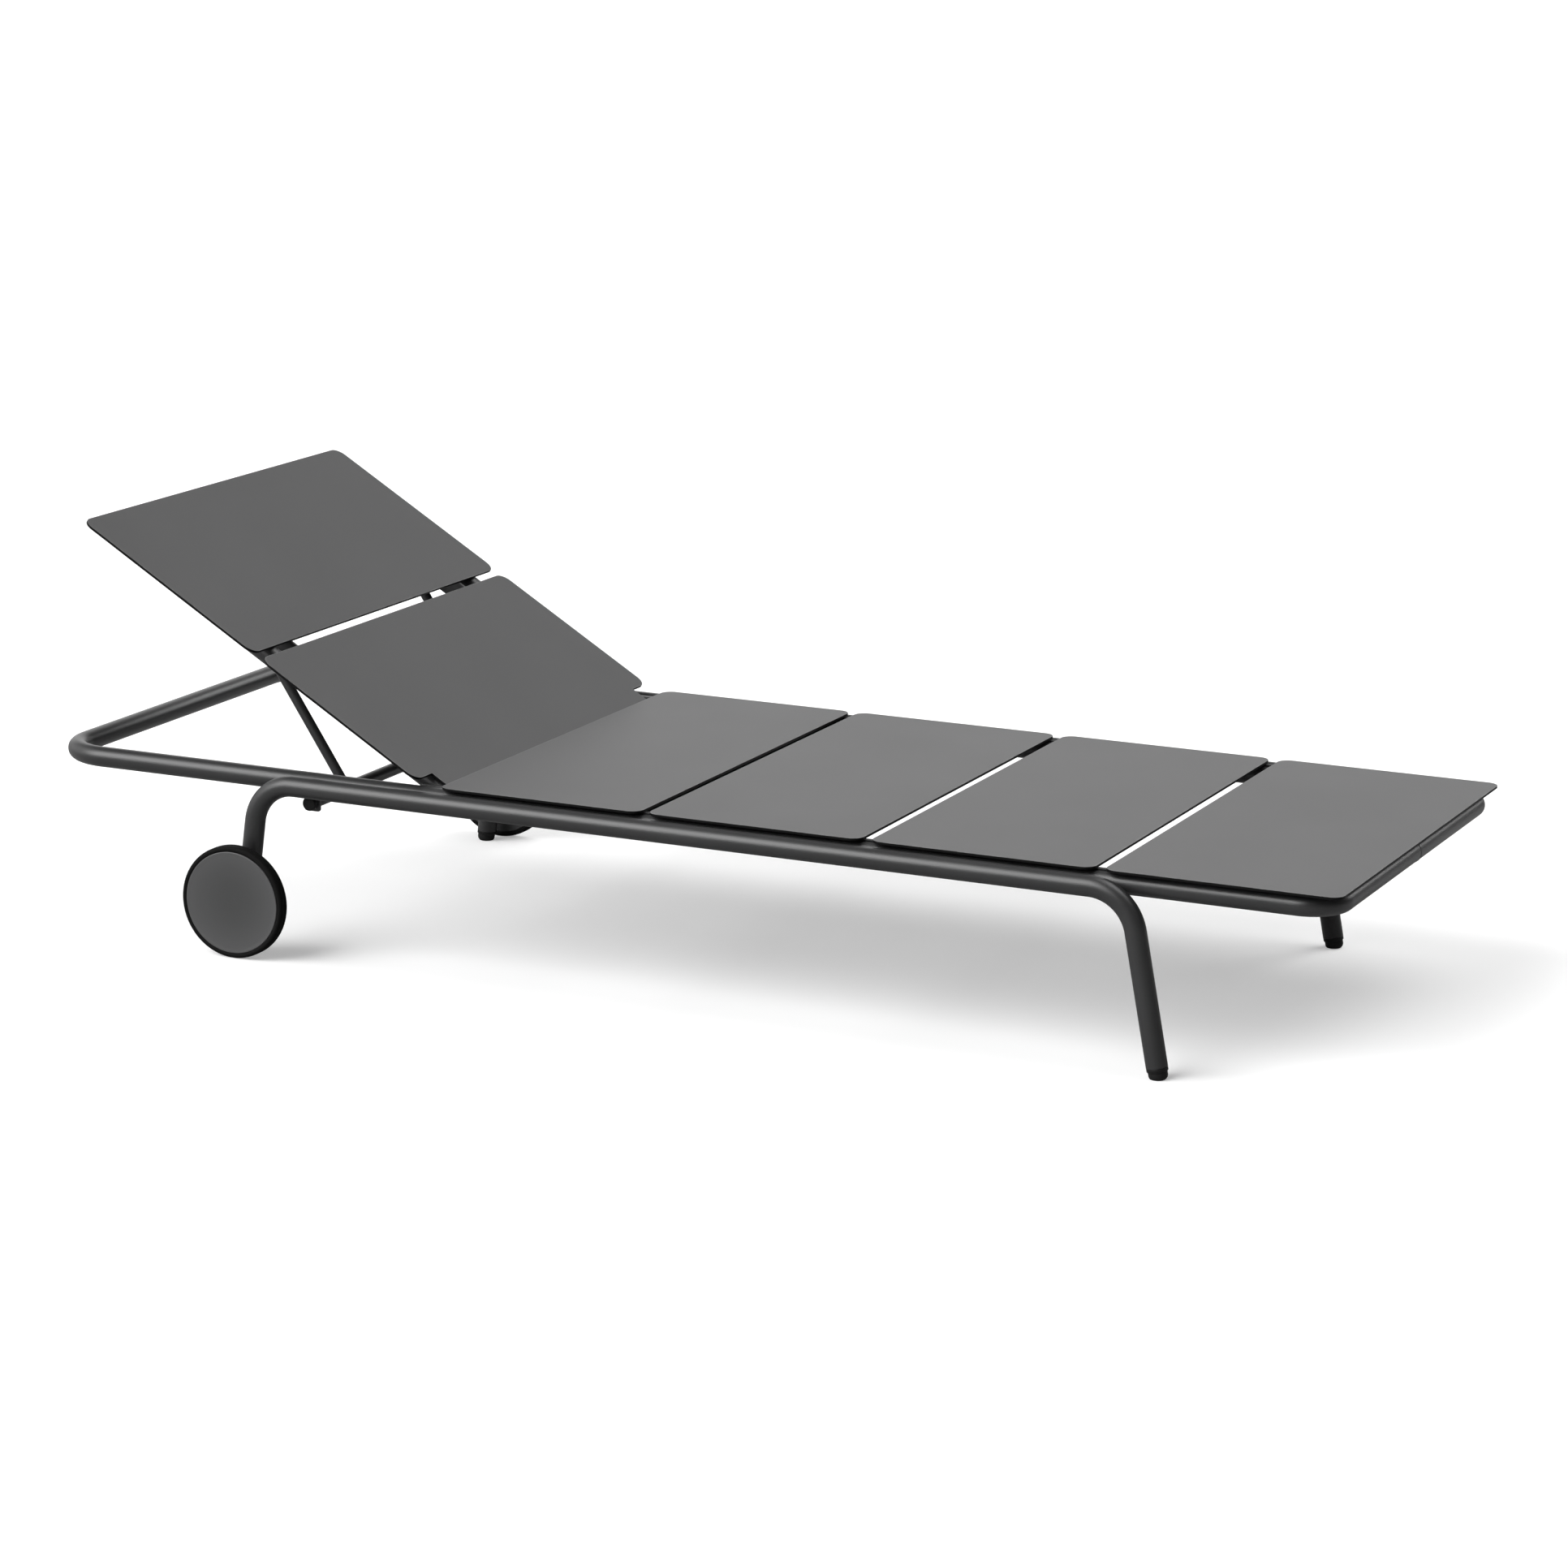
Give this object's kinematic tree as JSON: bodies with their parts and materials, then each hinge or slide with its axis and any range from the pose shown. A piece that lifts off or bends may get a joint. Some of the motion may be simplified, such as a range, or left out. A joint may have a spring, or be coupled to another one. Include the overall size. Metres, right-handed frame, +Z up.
{
  "type": "reclining sun lounger",
  "caption": "Low sun lounger of flat metal panels on a bent-tube frame, with a reclining back rest held by a rack and prop, and wheels at the head end.",
  "frame": {"origin": "on the ground under the middle of the lounger", "axes": "+X to the foot end, +Y to the left of a person lying on it, +Z up"},
  "size_m": [1.9937, 0.848, 0.6081],
  "materials": {
    "tube_coat": "satin",
    "panel_coat": "satin",
    "disc_coat": "satin",
    "steel": "satin",
    "tyre": "matte",
    "black_plastic": "matte",
    "nylon": "matte"
  },
  "bodies": {
    "frame": {"axle_bolt_left": "steel", "axle_bolt_right": "steel", "axle_nut_left": "steel", "axle_nut_right": "steel", "axle_spacer_left": "nylon", "axle_spacer_right": "nylon", "foot_cap_front_left": "black_plastic", "foot_cap_front_right": "black_plastic", "foot_cap_rear_left": "black_plastic", "foot_cap_rear_right": "black_plastic", "hinge_bracket_left": "tube_coat", "hinge_bracket_right": "tube_coat", "hinge_pin_left": "steel", "hinge_pin_right": "steel", "leg_tube_left": "tube_coat", "leg_tube_right": "tube_coat", "main_loop_tube": "tube_coat", "prop_hanger_left": "tube_coat", "prop_hanger_right": "tube_coat", "rail_strip_left": "nylon", "rail_strip_right": "nylon", "seat_cross_tube_foot": "tube_coat", "seat_cross_tube_hinge": "tube_coat", "seat_cross_tube_middle": "tube_coat", "seat_panel_1": "panel_coat", "seat_panel_2": "panel_coat", "seat_panel_3": "panel_coat", "seat_panel_4": "panel_coat"},
    "back_rest": {"back_cross_tube_lower": "tube_coat", "back_cross_tube_upper": "tube_coat", "back_panel_head": "panel_coat", "back_panel_lower": "panel_coat", "back_side_tube_left": "tube_coat", "back_side_tube_right": "tube_coat", "back_tube_plug_left": "black_plastic", "back_tube_plug_right": "black_plastic", "hinge_washer_left": "nylon", "hinge_washer_right": "nylon", "recline_rack_left": "tube_coat", "recline_rack_right": "tube_coat"},
    "prop": {"prop_bar_cap_left": "black_plastic", "prop_bar_cap_right": "black_plastic", "prop_rack_rod": "tube_coat", "prop_strut_left": "tube_coat", "prop_strut_right": "tube_coat", "prop_turning_bar": "tube_coat"},
    "wheel_left": {"tyre_left": "tyre", "wheel_bush_left": "nylon", "wheel_disc_inner_left": "disc_coat", "wheel_disc_outer_left": "disc_coat"},
    "wheel_right": {"tyre_right": "tyre", "wheel_bush_right": "nylon", "wheel_disc_inner_right": "disc_coat", "wheel_disc_outer_right": "disc_coat"}
  },
  "joints": [
    {"name": "back_hinge", "type": "hinge", "parent": "frame", "child": "back_rest", "pos_m": [-0.3622, 0, 0.2556], "axis": [0, 1, 0], "range_deg": [-30.68, 34.32]},
    {"name": "prop_pivot", "type": "hinge", "parent": "frame", "child": "prop", "pos_m": [-0.5575, 0, 0.2226], "axis": [0, 1, 0], "range_deg": [-48.5, 54]},
    {"name": "wheel_left_spin", "type": "hinge", "parent": "frame", "child": "wheel_left", "pos_m": [-0.64407, 0.414, 0.0825], "axis": [0, 1, 0], "continuous": true},
    {"name": "wheel_right_spin", "type": "hinge", "parent": "frame", "child": "wheel_right", "pos_m": [-0.64407, -0.414, 0.0825], "axis": [0, 1, 0], "continuous": true}
  ],
  "couplings": [
    {"joint": "prop_pivot", "follows": "back_hinge", "ratio": 1.56}
  ]
}
